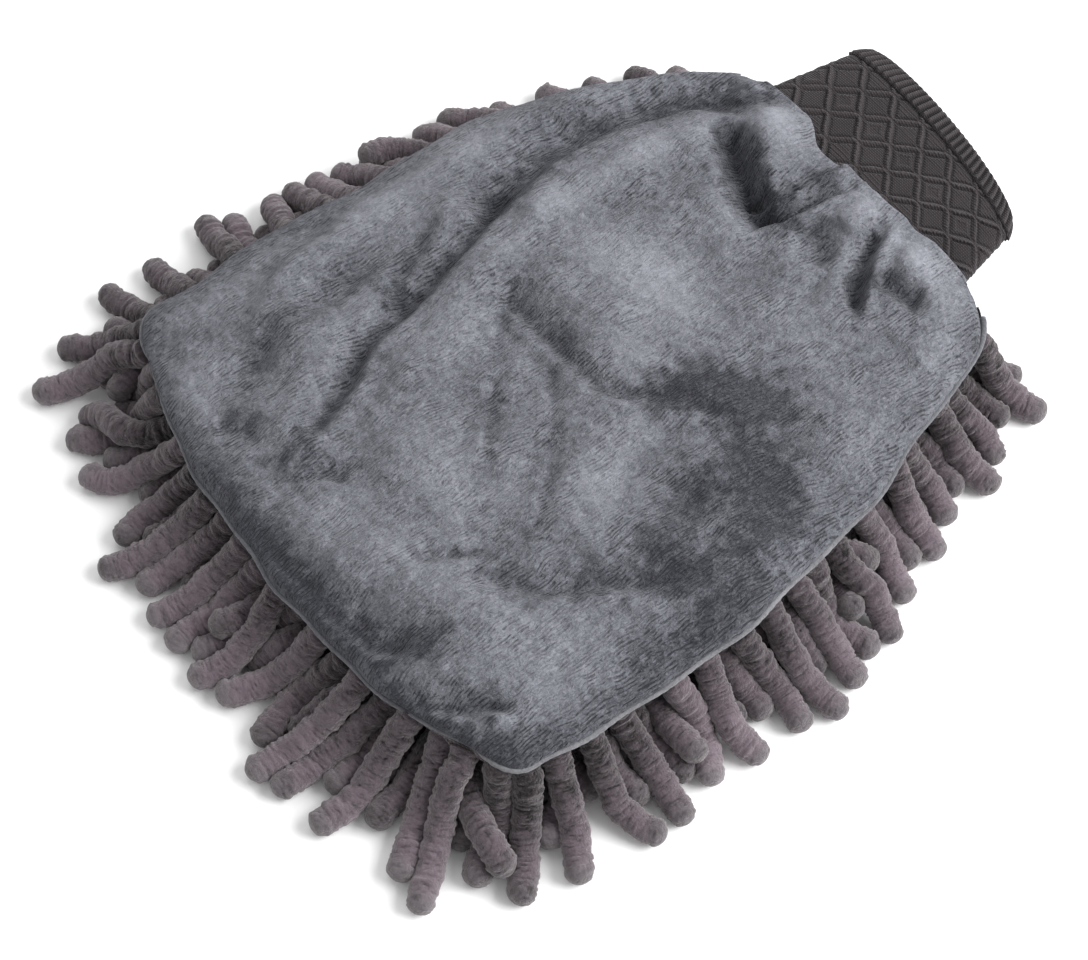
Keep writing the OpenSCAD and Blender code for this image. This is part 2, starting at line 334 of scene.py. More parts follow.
# Each raised roll of the face: its path, how high it stands and how wide it is
ROLLS = [
    ([(-68, 92), (-78, 72), (-84, 45), (-86, 17), (-86, -10), (-84, -39), (-76, -70)], 2.2, 7.5),
    ([(-32, 102), (-43, 82), (-49, 62), (-48, 40), (-48, 20), (-43, 0), (-36, -22), (-27, -44)], 3.2, 7.0),
    ([(-56, 106), (-42, 104), (-28, 98), (-18, 91)], 3.6, 7.0),
    ([(-3, 106), (-3, 96), (-4, 84)], 2.6, 3.2),
    ([(11, 106), (12, 96), (14, 88)], 2.8, 6.5),
    ([(33, 108), (36, 100), (44, 82)], 2.8, 6.0),
    ([(54, 108), (60, 92), (64, 76)], 2.4, 7.5),
    ([(-8, 60), (10, 66), (26, 66)], 1.6, 11),
    ([(30, -96), (48, -84), (64, -74)], 1.8, 8),
    ([(46, -14), (52, -2), (60, 10)], 1.2, 11),
]

RELIEF = 1.25                # all folds are this much deeper than their lists say
OPEN_Y = 102                 # a valley that starts or ends beyond here runs out over the mouth


def folds_height(x, y):
    """The sum of the folds, and how deep in a fold a point lies, from 0 to 1."""
    height = np.zeros(x.shape)
    depth_in = np.zeros(x.shape)
    for path, depth, width, shoulder, bias in VALLEYS:
        d, side, along = path_distance(x, y, path)
        fade = smooth(along / 0.16) * smooth((1 - along) / 0.22)
        if path[0][1] > OPEN_Y or path[-1][1] > OPEN_Y:
            open_end = along if path[0][1] > OPEN_Y else 1 - along
            fade = smooth((1 - open_end) / 0.2) * (0.4 + 0.6 * smooth(open_end / 0.3))
        w = width * (1 + bias * side * smooth(d / width))
        valley = bell(d, w)
        rise = bell(d - 2.0 * w, 1.1 * w)
        height += RELIEF * depth * fade * (shoulder * 0.5 * rise - valley)
        depth_in = np.maximum(depth_in, fade * valley * min(1, depth / 5))
    for path, rise, width in ROLLS:
        d, _, along = path_distance(x, y, path)
        ends = smooth(0.25 + along / 0.2) * smooth(0.25 + (1 - along) / 0.2)
        height += RELIEF * rise * bell(d, width) * ends
    return height, depth_in


coarse = Field(11, 62)
middle = Field(12, 26)
small = Field(13, 9)
tuft = Field(14, 3.6, count=40)
patch_a = Field(15, 46)
patch_b = Field(16, 17)
patch_c = Field(17, 6.5)


def face_dome(u, y):
    """Height of the smooth pillow above the seam."""
    ends = superellipse(1 - clamp01((y - END_Y) / 44), DOME_POWER)
    mouth = 1 - 0.12 * clamp01((y - MOUTH_Y) / 30 + 1)
    return CROWN * ends * superellipse(u, DOME_POWER) * mouth


def face_surface(uu, yy):
    """Points of the face's upper side for shares across and stations along, and the folds' depth there."""
    w = half_width(yy)
    x = uu * w
    x = x + side_bulge(x, yy) * np.abs(uu) ** 3
    y = bowed(yy, uu)
    y = y - mouth_line(x) * smooth((yy - MOUTH_Y + 30) / 30) ** 2
    folds, depth_in = folds_height(x, y)
    inside = clamp01((1 - np.abs(uu)) * w / 14) * clamp01((yy - END_Y) / 12)
    z = SEAM_Z + 0.4 + face_dome(uu, yy) + folds * np.sqrt(inside)
    z += inside * (0.9 * coarse(x, y) + 0.6 * middle(x, y)) + 0.20 * small(x, y) * np.sqrt(inside)
    section = superellipse(np.minimum(1, np.abs(x) / CUFF_SIDE_X), CUFF_POWER)
    over_cuff = CUFF_Z + 0.5 * CUFF_T * section + 3.4
    floor_here = np.where(np.abs(x) < CUFF_SIDE_X, over_cuff * smooth((y - 93) / 7), 0)
    z = np.maximum(z, floor_here) + 0.35 * np.exp(-np.abs(z - floor_here))
    z = np.maximum(z, SEAM_Z + 0.2)
    return np.stack([x, y, z], axis=-1), depth_in


# Strokes that darken (-) or lighten (+) the face's colour: path, half width, strength. Most follow the
# valleys and rolls above: painted shade in the valleys, creases, tucks and the mouth's pocket, and
# painted light on the rolls. The rest are broad dark and light patches.
NAP_AND_LIGHT_STROKES = [
    # dark: painted shade along the long valley and its branches
    ([(-41, 105), (-55, 90), (-64, 71), (-66, 53), (-66, 33), (-63, 16)], 8.0, -0.34),
    ([(-42, 104), (-53, 93), (-60, 82)], 6.0, -0.20),
    ([(-63, 16), (-55, -4), (-50, -20), (-45, -38), (-42, -54), (-33, -68), (-28, -80), (-22, -97)],
     3.4, -0.32),
    ([(-65, -13), (-59, -27), (-51, -37)], 2.6, -0.22),
    ([(-66, -39), (-65, -50), (-64, -63), (-60, -79), (-53, -94)], 5.5, -0.20),
    ([(-83, -61), (-86, -48), (-88, -35)], 4.5, -0.22),
    # dark: painted shade along the faint creases across the middle
    ([(-30, -9), (-16, -22), (0, -36), (13, -47), (26, -60)], 2.0, -0.16),
    ([(-2, -14), (11, -21), (25, -32), (38, -45), (44, -55)], 2.0, -0.14),
    ([(-30, -7), (-19, -7), (-6, -7), (9, -7), (18, -4), (27, 4), (37, 16)], 4.8, -0.32),
    # the large dark patch and what trails from it, with painted shade along the creases near the finger end
    ([(28, 10), (38, 24), (50, 34)], 7.5, -0.42),
    ([(42, 22), (60, 20), (72, 13)], 10.5, -0.42),
    ([(66, -23), (63, -5), (64, 9)], 9.5, -0.28),
    ([(82, -26), (84, -10), (82, 8)], 7.5, -0.26),
    ([(45, -70), (59, -62), (67, -46), (77, -31), (80, -19)], 5.0, -0.28),
    ([(31, -82), (35, -73)], 2.6, -0.22),
    # dark: painted shade along the tucks and small creases at the finger end and the right edge
    ([(-22, -117), (10, -115), (28, -113), (41, -110), (54, -99)], 5.5, -0.40),
    ([(58, -115), (72, -104), (81, -89)], 3.4, -0.34),
    ([(65, -116), (77, -109), (90, -99)], 4.5, -0.30),
    ([(90, -50), (94, -30), (93, -8)], 6.0, -0.20),
    ([(-14, -91), (-10, -87)], 5.5, -0.28),
    ([(-42, -102), (-38, -100)], 5.5, -0.24),
    # dark: painted shade in the pocket at the mouth and its creases
    ([(-36, 86), (-27, 82), (-16, 77), (-5, 75), (0, 76)], 6.0, -0.60),
    ([(-12, 78), (-7, 82), (-5, 89), (-4, 98)], 2.8, -0.28),
    ([(-1, 74), (0, 86), (2, 96)], 2.4, -0.24),
    ([(20, 102), (26, 91), (35, 79), (42, 72)], 3.2, -0.32),
    ([(12, 82), (18, 80)], 5.0, -0.22),
    ([(40, 89), (47, 92)], 5.0, -0.36),
    # light: painted light along the rolls and on the pillow at the mouth, and broad light patches
    ([(-31, 101), (-42, 81), (-48, 62), (-46, 41), (-48, 22), (-44, 2)], 5.0, 0.20),
    ([(-23, 31), (3, 35), (10, 15)], 12.0, 0.18),
    ([(22, -90), (48, -80), (72, -65)], 8.0, 0.10),
    ([(81, 30), (77, 61), (66, 85)], 8.0, 0.08),
    ([(-36, 103), (-20, 96)], 6.5, 0.26),
    ([(10, 104), (30, 104), (55, 100)], 6.0, 0.22),
    ([(-85, -95), (-85, -64), (-84, -11), (-86, 32)], 5.0, 0.10),
    ([(-5, -48), (7, -68), (5, -94)], 12.0, 0.05),
    ([(39, -25), (34, -6)], 7.0, 0.18),
]


def nap_tone_and_painted_light(x, y, edge):
    """Lightness of the face's colour, about 0 in the dark patches and 1 in the light ones.

    It sums noise patches, the strokes' painted light and shade, and painted shade along the edge.
    """
    tone_and_painted_light = 0.45 + 0.04 * patch_a(x, y) + 0.03 * patch_b(x, y) + 0.03 * patch_c(x, y)
    tone_and_painted_light -= 0.07 * smooth((x - 30) / 40) * smooth((y + 60) / 40)
    ragged = 0.8 * patch_c(x, y) + 1.0 * patch_b(y, x)
    for path, width, strength in NAP_AND_LIGHT_STROKES:
        d, _, _ = path_distance(x, y, path)
        tone_and_painted_light += strength * np.exp(-(np.maximum(0, d + ragged) / width) ** 2.2)
    # Painted shade where the face turns down at its edge.
    tone_and_painted_light -= 0.30 * edge
    return clamp01(tone_and_painted_light)


def plush_face():
    """The face: a pillowed cloth with folds, its edge turned down to the seam and rolled at the mouth."""
    columns = 241
    rows = 260
    u = np.sin(np.linspace(-1, 1, columns) * math.pi / 2 * 0.94) / math.sin(math.pi / 2 * 0.94)
    t = np.linspace(0, 1, rows)
    t = t - 0.05 * np.sin(TAU * t)
    uu, yy = np.meshgrid(u, END_Y + (MOUTH_Y - END_Y) * t)
    top, depth_in = face_surface(uu, yy)
    x, y = top[..., 0], top[..., 1]
    top[..., 2] += 0.09 * tuft(x, y)

    # the mouth's edge rolls over and runs back inside
    roll_r = 1.6
    turns = np.radians(np.arange(20, 181, 20))
    last = top[-1]
    seam_fade = smooth((1 - np.abs(u)) / 0.10)[:, None]
    roll = []
    for a in turns:
        back = np.full(columns, roll_r * math.sin(a))
        down = np.full(columns, -roll_r * (1 - math.cos(a)))
        roll.append(np.stack([0 * u, back, down], axis=-1))
    roll += [roll[-1] + np.array([0, -inward, 0]) for inward in (3, 6)]
    top = np.concatenate([top, np.array([last + r * (0.35 + 0.65 * seam_fade) for r in roll])])

    normal = np.cross(np.gradient(top, axis=1), np.gradient(top, axis=0))
    normal /= np.linalg.norm(normal, axis=-1, keepdims=True) + 1e-9
    skin = 0.9 * np.minimum(1, inside_edge(top.shape[0], columns))[:, :, None]
    under = top - normal * skin
    extra = len(roll)
    w = half_width(yy)
    # Painted shade: the colour darkens near the edge, where the face turns down to the seam, and the hatch
    # lines are drawn stronger at the edge, in fold valleys and in the dark patches.
    edge = 1 - clamp01(np.minimum((1 - np.abs(uu)) * w, (yy - END_Y) * 1.3) / 12)
    tone_and_painted_light = nap_tone_and_painted_light(x, y, edge * (0.35 + 0.65 * smooth((20 - y) / 60)))
    hatch_and_shade = clamp01(0.45 + 0.6 * edge + 0.6 * depth_in + 0.9 * (0.5 - tone_and_painted_light) + 0.25 * patch_b(x, y))
    tone_and_painted_light = np.concatenate([tone_and_painted_light, np.repeat(tone_and_painted_light[-1:], extra, axis=0)])
    hatch_and_shade = np.concatenate([hatch_and_shade, np.repeat(hatch_and_shade[-1:], extra, axis=0)])
    return half_shell("plush_face", top, under[::2, ::2], {"nap": tone_and_painted_light, "hatch_and_shade": hatch_and_shade})


def inside_edge(rows, columns):
    """0 on the border of a grid, rising to 1 a few points inside it."""
    r = np.minimum(np.arange(rows), np.arange(rows)[::-1])[:, None]
    c = np.minimum(np.arange(columns), np.arange(columns)[::-1])[None, :]
    return 0.15 + np.minimum(r, c) / 3


# ---------------------------------------------------------------- back, linings and seam

def dished(u, y):
    """How far a cloth has gone from its edge's height to its middle's, at share u across and at y."""
    return (superellipse(1 - clamp01((y - END_Y) / ROOT_INSET), 2)
            * superellipse(np.maximum(0, (np.abs(u) - 0.92) / 0.08), 2))


def cloth_sheet(name, inset, short, low, high, thickness, rows, columns, ripple):
    """A cloth inside the sewn outline, low at its edge and high within, with soft ripples."""
    u = np.sin(np.linspace(-1, 1, columns) * math.pi / 2)
    t = (1 - np.cos(np.linspace(0, 1, rows) * math.pi)) / 2
    stations = END_Y + (MOUTH_Y - END_Y) * t
    uu, ss = np.meshgrid(u, stations)
    yy = END_Y + inset + (MOUTH_Y - short - END_Y - inset) * (ss - END_Y) / (MOUTH_Y - END_Y)
    w = half_width(yy) - inset
    x = uu * w
    x = x + side_bulge(x, yy) * np.abs(uu) ** 3
    y = bowed(yy, uu)
    share = dished(uu, ss)
    z = low + (high - low) * share
    field = Field(31, 30)
    z = z - ripple * (1 + field(x, y)) / 2 * share
    upper = np.stack([x, y, z], axis=-1)
    lower = upper - np.array([0, 0, thickness])
    return shell(name, upper, lower)


def face_lining():
    """The lining under the face, which follows its folds."""
    columns, rows = 90, 100
    span = 1 - 3.2 / 95
    uu, yy = np.meshgrid(np.sin(np.linspace(-1, 1, columns) * math.pi / 2) * span,
                         np.linspace(END_Y + 3.2, MOUTH_Y - 10.6, rows))
    upper = face_surface(uu, yy)[0]
    upper[..., 2] = np.maximum(upper[..., 2] - 2.2, SEAM_Z + 1.1)
    return shell("lining_under_face", upper, upper - np.array([0, 0, LINING_T]))


def edge_path():
    """The sewn edge from the left of the mouth, round the finger end, to the right of the mouth."""
    y = END_Y + (MOUTH_Y - 3 - END_Y) * np.linspace(0, 1, 260) ** 1.25
    right = np.stack([half_width(y) + side_bulge(half_width(y), y), bowed(y, 1)], axis=-1)
    left = np.stack([-half_width(y) + side_bulge(-half_width(y), y), bowed(y, -1)], axis=-1)
    corner_x = half_width(END_Y)
    across = np.linspace(-1, 1, 120)[1:-1]
    end_x = across * corner_x
    end_x += side_bulge(end_x, END_Y) * np.abs(across) ** 3
    end = np.stack([end_x, bowed(END_Y, across)], axis=-1)
    path = np.concatenate([left[::-1], end, right])
    step = np.r_[0, np.cumsum(np.linalg.norm(np.diff(path, axis=0), axis=1))]
    even = np.linspace(0, step[-1], int(step[-1] / 1.1))
    return np.stack([np.interp(even, step, path[:, k]) for k in (0, 1)], axis=-1), even


def tube_points(path, radius, sides):
    """Rings of points round a path, radius may vary from ring to ring and round each ring."""
    along = np.gradient(path, axis=0)
    along /= np.linalg.norm(along, axis=1, keepdims=True)
    across = np.cross(along, np.array([0, 0, 1.0]))
    across /= np.linalg.norm(across, axis=1, keepdims=True)
    third = np.cross(across, along)
    a = TAU * np.arange(sides) / sides
    radius = np.broadcast_to(radius, (len(path), sides))[:, :, None]
    ring = (across[:, None] * np.cos(a)[None, :, None] + third[:, None] * np.sin(a)[None, :, None])
    return path[:, None] + radius * ring


def end_fans(count, sides):
    """Triangles that close both ends of a tube of rings, whose two end points follow the rings."""
    k = np.arange(sides)
    start = np.stack([np.full(sides, count * sides), (k + 1) % sides, k], axis=-1)
    tip = (count - 1) * sides
    end = np.stack([np.full(sides, count * sides + 1), tip + k, tip + (k + 1) % sides], axis=-1)
    return np.concatenate([start, end])


def edge_roll():
    """The rolled seam round the body, drawn in a little at each stitch."""
    path, s = edge_path()
    z = np.full(len(path), SEAM_Z - 0.2) + 0.3 * np.cos(s / 17.0) + 0.25 * np.cos(s / 7.3 + 1)
    path = np.column_stack([path, z])
    stitch = 3.2
    radius = 0.95 - 0.15 * np.exp(-((s % stitch - stitch / 2) / 0.5) ** 2) + 0.10 * np.cos(s / 5.1)
    sides = 14
    rings = tube_points(path, radius[:, None], sides)
    # Painted highlight: the roll's colour is made lighter along its right side, which faces the key light.
    rim = 0.1 + 0.7 * smooth((path[:, 0] - 70) / 20) * smooth((60 - path[:, 1]) / 50)
    rim = np.concatenate([np.repeat(rim, sides), rim[:1], rim[-1:]])
    points = np.concatenate([rings.reshape(-1, 3), rings[0].mean(0)[None], rings[-1].mean(0)[None]])
    quads = grid_quads(len(path), sides, closed_columns=True)
    return new_piece("edge_roll", points, quads, end_fans(len(path), sides), attributes={"rim": rim})


# ---------------------------------------------------------------- chenille fingers

class Fingers:
    """Where every finger is sewn on, which way it is combed, and how thick and long it is."""

    def __init__(self):
        rng = np.random.default_rng(2024)
        first = END_Y + ROOT_INSET
        last = first + (ROWS - 1) * ROW_PITCH
        roots = []
        spans = []
        rows = []
        odd = []
        for i in range(ROWS):
            y = first + i * ROW_PITCH
            half = float(half_width(y)) - ROOT_INSET
            count = int(2 * half / FINGER_PITCH) + 1
            for k, u in enumerate(np.linspace(-1, 1, count)):
                x = u * half
                stagger = STAGGER * (1 if k % 2 else -1) * (1 if i > 0 else 0.6)
                bulge = float(side_bulge(np.array(x), np.array(y))) * abs(u) ** 3
                roots.append((x + bulge, bowed(y, u) + stagger, BACKING_Z + 0.5))
                spans.append((half - abs(x), y - first, last - y))
                rows.append(i)
                odd.append(k % 2)
        self.root = np.array(roots, float)
        self.row = np.array(rows)
        count = len(roots)
        x, y = self.root[:, 0], self.root[:, 1]
        to_side, to_end, to_mouth = np.array(spans, float).T
        beside_cuff = np.abs(x) > CUFF_SIDE_X
        side = clamp01(1 - to_side / OUTER_BAND)
        end = clamp01(1 - to_end / OUTER_BAND)
        mouth = clamp01(1 - to_mouth / OUTER_BAND) * np.where(beside_cuff, 0.45, 0.20)
        across = np.sign(x) * side
        along = mouth - end
        lean = np.hypot(across, along)
        edge = np.minimum(to_side, to_end)
        edge = np.where(beside_cuff, np.minimum(edge, to_mouth), edge)
        self.outer = edge < 6
        self.inner = lean < 0.12

        clump = Field(41, 30)
        heading = np.arctan2(along, across + 1e-9)
        left = (x < 0) & (side > end)
        right = (x > 0) & (side > end)
        unruly = np.where(right, 0.45, np.where(left, 0.6, 0.72))
        heading += unruly * (0.10 * clump(x, y) + rng.normal(0, 0.13, count))
        heading += np.where(left, 0.65 * smooth((y + 45) / 60), 0)
        heading += np.where(right, 0.05, 0)
        heading -= np.where(end > side, 0.30 * smooth((25 - x) / 70), 0)
        heading = np.where(self.inner, rng.uniform(0, TAU, count), heading)
        self.heading = heading
        curl = 0.25 * clump(y + 60, x - 40) + rng.normal(0, 0.44, count)
        self.curl = np.where(self.inner, 1.0, unruly) * curl

        odd = np.array(odd)
        chance = np.where(left, 0.16, np.where(to_end < 3, np.where(odd, 0.70, 0.95), 0.9))
        high = self.outer & (rng.random(count) < chance)
        launch = np.where(high, rng.uniform(66, 84, count), rng.uniform(10, 26, count))
        finish = np.where(high, rng.uniform(46, 74, count), rng.uniform(80, 90, count))
        self.launch = np.radians(launch)
        self.finish = np.radians(finish)
        self.turn_by = np.where(high, 36.0, 11.0)
        self.length = FINGER_AXIS * np.where(self.inner, 0.98, rng.uniform(0.90, 1.02, count))
        self.length *= np.where(self.outer & ~high, 1.05, 1.0)
        at_end = 1.04 + 0.09 * smooth((x - 10) / 50) - 0.10 * smooth((-68 - x) / 20)
        self.length *= np.where((end > side) & ~self.inner, at_end, 1.0)
        at_left = 1 - 0.12 * smooth((y + 70) / 50) * (1 - smooth((y + 5) / 40))
        self.length *= np.where(left, at_left, 1.0)
        self.length *= np.where(right, 0.95 - 0.14 * smooth((y - 10) / 60), 1.0)
        self.length *= np.where(beside_cuff | (to_mouth > 14), 1.0, 0.88)
        self.radius = FINGER_R * np.where(self.inner, 0.86, 0.99)
        # The layer later darkens the lower fingers' colour: painted shade where the upper fingers cover them.
        self.layer = np.where(high, 0.0, np.where(self.outer, -1.2, -2.2))
        self.count = count

    def first_axes(self, nodes):
        """The axis of each finger before it settles: out of its root and round to its heading."""
        s = np.linspace(0, 1, 40)[None] * self.length[:, None]
        tilt = self.launch[:, None] + (self.finish - self.launch)[:, None] * smooth(s / self.turn_by[:, None])
        step = self.length[:, None] / 39
        run = np.cumsum(np.sin(tilt) * step, axis=1)
        drop = np.cumsum(np.cos(tilt) * step, axis=1)
        turn = self.heading[:, None] + self.curl[:, None] * (s / self.length[:, None]) ** 1.5
        line = np.stack([np.cumsum(np.cos(turn) * np.gradient(run, axis=1), axis=1),
                         np.cumsum(np.sin(turn) * np.gradient(run, axis=1), axis=1), -drop], axis=-1)
        pick = np.linspace(0, 39, nodes).round().astype(int)
        return self.root[:, None] + line[:, pick] - line[:, :1]


def near_pairs(points, reach, owner, order):
    """Index pairs of points nearer than reach that aren't neighbours in one finger."""
    cell = np.floor(points[:, :2] / reach).astype(int)
    cell -= cell.min(0)
    wide = cell[:, 0].max() + 3
    key = cell[:, 0] + 1 + (cell[:, 1] + 1) * wide
    by_key = np.argsort(key, kind="stable")
    sorted_key = key[by_key]
    out_i = []
    out_j = []
    for offset in (0, 1, wide - 1, wide, wide + 1):
        low = np.searchsorted(sorted_key, key + offset, side="left")
        high = np.searchsorted(sorted_key, key + offset, side="right")
        for k in range(int((high - low).max())):
            i = np.nonzero(low + k < high)[0]
            j = by_key[(low + k)[i]]
            if offset == 0:
                keep = j > i
                i, j = i[keep], j[keep]
            out_i.append(i)
            out_j.append(j)
    i = np.concatenate(out_i)
    j = np.concatenate(out_j)
    near = np.linalg.norm(points[i] - points[j], axis=1) < reach
    apart = (owner[i] != owner[j]) | (np.abs(order[i] - order[j]) > 2)
    return i[near & apart], j[near & apart]


def hold(p, reach, least, give, only_if_short=True):
    """Keeps points that are reach apart along each finger at least so far apart."""
    gap = p[:, reach:] - p[:, :-reach]
    length = np.linalg.norm(gap, axis=-1, keepdims=True) + 1e-9
    miss = length - least
    if only_if_short:
        miss = np.minimum(0, miss)
    move = give * gap * miss / length
    free = (np.arange(p.shape[1] - reach) > 0)[None, :, None]
    shift = np.zeros_like(p)
    shift[:, reach:] -= move
    shift[:, :-reach] += move * free
    p += shift


def settle_fingers(f):
    """Lets the fingers swell to their thickness, sag and pile up, and returns their axes.

    Every finger is a chain of overlapping balls that keep their spacing, resist bending, and
    push each other, the floor and the backing cloth away.
    """
    n = FINGER_NODES
    p = f.first_axes(n)
    step = (f.length / (n - 1))[:, None, None]
    count = f.count
    owner = np.repeat(np.arange(count), n)
    order = np.tile(np.arange(n), count)
    aim = np.stack([np.sin(f.launch) * np.cos(f.heading), np.sin(f.launch) * np.sin(f.heading),
                    -np.cos(f.launch)], axis=-1)
    ticks = 170
    sag = 0.22
    to_aim = 0.35
    unbend = 0.07
    furthest = 1.2
    for tick in range(ticks):
        swell = 0.5 + 0.5 * smooth((tick + 1) / (0.6 * ticks))
        radius = f.radius * swell * 0.97
        each = np.repeat(radius, n)
        p[:, 2:, 2] -= sag
        if tick % 4 == 0:
            i, j = near_pairs(p.reshape(-1, 3), 2.2 * FINGER_R + 2.5, owner, order)
        for _ in range(5):
            p[:, 0] = f.root
            p[:, 1] += to_aim * (f.root + aim * step[:, 0] - p[:, 1])
            for _ in range(2):
                hold(p, 1, step, 0.5, only_if_short=False)
            hold(p, 2, 1.96 * step, 0.35)
            p[:, 1:-1] += unbend * (0.5 * (p[:, :-2] + p[:, 2:]) - p[:, 1:-1])
            flat = p.reshape(-1, 3)
            gap = flat[j] - flat[i]
            length = np.linalg.norm(gap, axis=-1) + 1e-9
            need = each[i] + each[j]
            hit = length < need
            push = (0.4 * (need[hit] - length[hit]) / length[hit])[:, None] * gap[hit]
            move = np.zeros_like(flat)
            np.add.at(move, i[hit], -push)
            np.add.at(move, j[hit], push)
            p = (flat + np.clip(move, -furthest, furthest)).reshape(count, n, 3)
            under = (np.abs(p[:, :, 0]) < half_width(p[:, :, 1]) + 1) & (p[:, :, 1] < MOUTH_Y)
            under &= p[:, :, 1] > FRONT_Y - 1
            ceiling = BACKING_Z - 0.6 * radius[:, None]
            p[:, :, 2] = np.where(under, np.minimum(p[:, :, 2], ceiling), p[:, :, 2])
            p[:, :, 2] = np.maximum(p[:, :, 2], radius[:, None])
    p[:, 0] = f.root
    return p


def smooth_axes(nodes):
    """Even, smooth axes through the nodes of every finger, and the running length along them."""
    n = nodes.shape[1]
    fine = 20 * (n - 1) + 1
    t = np.linspace(0, n - 1, fine)
    i = np.clip(t.astype(int), 0, n - 2)
    f = (t - i)[None, :, None]
    before = 2 * nodes[:, :1] - nodes[:, 1:2]
    after = 2 * nodes[:, -1:] - nodes[:, -2:-1]
    padded = np.concatenate([before, nodes, after], axis=1)
    p0, p1, p2, p3 = (padded[:, i + k] for k in range(4))
    curve = 0.5 * (2 * p1 + (p2 - p0) * f + (2 * p0 - 5 * p1 + 4 * p2 - p3) * f ** 2
                   + (3 * p1 - p0 - 3 * p2 + p3) * f ** 3)
    for _ in range(90):
        curve[:, 1:-1] = 0.25 * curve[:, :-2] + 0.5 * curve[:, 1:-1] + 0.25 * curve[:, 2:]
    lengths = np.linalg.norm(np.diff(curve, axis=1), axis=-1)
    s = np.concatenate([np.zeros((len(nodes), 1)), np.cumsum(lengths, axis=1)], axis=1)
    return curve, s


def crumple(rng, s, theta, length_low, length_high, turns, waves):
    """Random crumples on every finger, mostly across it: a field of s along and theta round."""
    count = len(s)
    total = np.zeros((count, s.shape[1], len(theta)), np.float32)
    for _ in range(waves):
        k = TAU / rng.uniform(length_low, length_high, count)
        m = rng.integers(-turns, turns + 1, count)
        phase = rng.uniform(0, TAU, count)
        total += np.cos(k[:, None, None] * s[:, :, None] + m[:, None, None] * theta + phase[:, None, None])
    return total * math.sqrt(2 / waves)


def finger_meshes(f, nodes, rng):
    """Ring points, groove depth and share of the length for every finger."""
    count = f.count
    curve, s = smooth_axes(nodes)
    total = s[:, -1]
    body = np.linspace(0, 1, RINGS - TIP_RINGS)
    at = body[None, :] * total[:, None]
    centre = np.empty((count, len(body), 3))
    for one in range(count):
        for k in range(3):
            centre[one, :, k] = np.interp(at[one], s[one], curve[one, :, k])
    tangent = np.gradient(centre, axis=1)
    tangent /= np.linalg.norm(tangent, axis=-1, keepdims=True)
    angles = np.radians(np.linspace(0, 90, TIP_RINGS + 1)[1:] * 0.985)
    heading = tangent[:, -1:]
    tip = f.radius[:, None] * np.sin(angles)[None]
    centre = np.concatenate([centre, centre[:, -1:] + heading * tip[:, :, None]], axis=1)
    tangent = np.concatenate([tangent, np.repeat(heading, TIP_RINGS, axis=1)], axis=1)
    s_all = np.concatenate([at, total[:, None] + tip], axis=1)

    # sideways directions carried along each axis without twist
    side = np.cross(tangent[:, 0], rng.normal(size=(count, 3)))
    side /= np.linalg.norm(side, axis=-1, keepdims=True)
    sides = [side]
    for m in range(1, RINGS):
        side = side - tangent[:, m] * np.sum(side * tangent[:, m], axis=-1, keepdims=True)
        side = side / np.linalg.norm(side, axis=-1, keepdims=True)
        sides.append(side)
    side = np.stack(sides, axis=1)
    other = np.cross(tangent, side)

    theta = TAU * np.arange(SIDES) / SIDES
    profile = np.concatenate([np.ones(RINGS - TIP_RINGS), np.cos(angles)])
    size = f.radius * rng.uniform(0.97, 1.05, count)
    radius = size[:, None, None] * profile[None, :, None] * np.ones((1, 1, SIDES))
    radius = radius + 0.16 * crumple(rng, s_all, theta, 6, 14, 1, 5) * profile[None, :, None]
    fine = crumple(rng, s_all, theta, 1.2, 2.2, 4, 10)
    broad = crumple(rng, s_all, theta, 2.2, 4.6, 1, 7)
    groove = np.clip(1 - np.abs(broad) / 0.34, 0, 1) * 0.60 + np.clip(1 - np.abs(fine) / 0.55, 0, 1) * 0.55
    grain = rng.normal(size=(count, RINGS, SIDES))
    grain = 0.5 * grain + 0.25 * (np.roll(grain, 1, axis=2) + np.roll(grain, -1, axis=2))
    fade = np.minimum(1, profile * 1.5)[None, :, None]
    radius = radius + (0.20 - 0.58 * groove + 0.13 * grain + 0.10 * broad) * fade
    ring = (side[:, :, None] * np.cos(theta)[None, None, :, None]
            + other[:, :, None] * np.sin(theta)[None, None, :, None])
    points = centre[:, :, None] + radius[..., None] * ring
    points[..., 2] = np.maximum(points[..., 2], 0.05)
    return points, groove, s_all / s_all[:, -1:]


def finger_pieces():
    """One piece for each sewn row of fingers."""
    f = Fingers()
    nodes = settle_fingers(f)
    rng = np.random.default_rng(77)
    points, groove, along = finger_meshes(f, nodes, rng)
    # A random tone for each finger plus its layer, which darkens the lower layers: painted shade.
    tone_and_painted_light = rng.normal(0, 1, f.count) + f.layer
    quads = grid_quads(RINGS, SIDES, closed_columns=True)
    fans = end_fans(RINGS, SIDES)
    each = RINGS * SIDES + 2
    pieces = []
    for row in range(ROWS):
        members = np.nonzero(f.row == row)[0]
        all_points = []
        all_quads = []
        all_fans = []
        attributes = {"groove": [], "along": [], "tone_and_painted_light": []}
        for m, one in enumerate(members):
            ring = points[one]
            all_points += [ring.reshape(-1, 3), ring[0].mean(0)[None], ring[-1].mean(0)[None]]
            all_quads.append(quads + m * each)
            all_fans.append(fans + m * each)
            attributes["groove"] += [groove[one].ravel(), [0, 0]]
            attributes["along"] += [np.repeat(along[one], SIDES), [0, 1]]
            attributes["tone_and_painted_light"].append(np.full(each, tone_and_painted_light[one]))
        attributes = {key: np.concatenate(values) for key, values in attributes.items()}
        pieces.append(new_piece(f"chenille_row_{row + 1:02d}", np.concatenate(all_points),
                                np.concatenate(all_quads), np.concatenate(all_fans), attributes=attributes))
    return pieces


# ---------------------------------------------------------------- the knit cuff

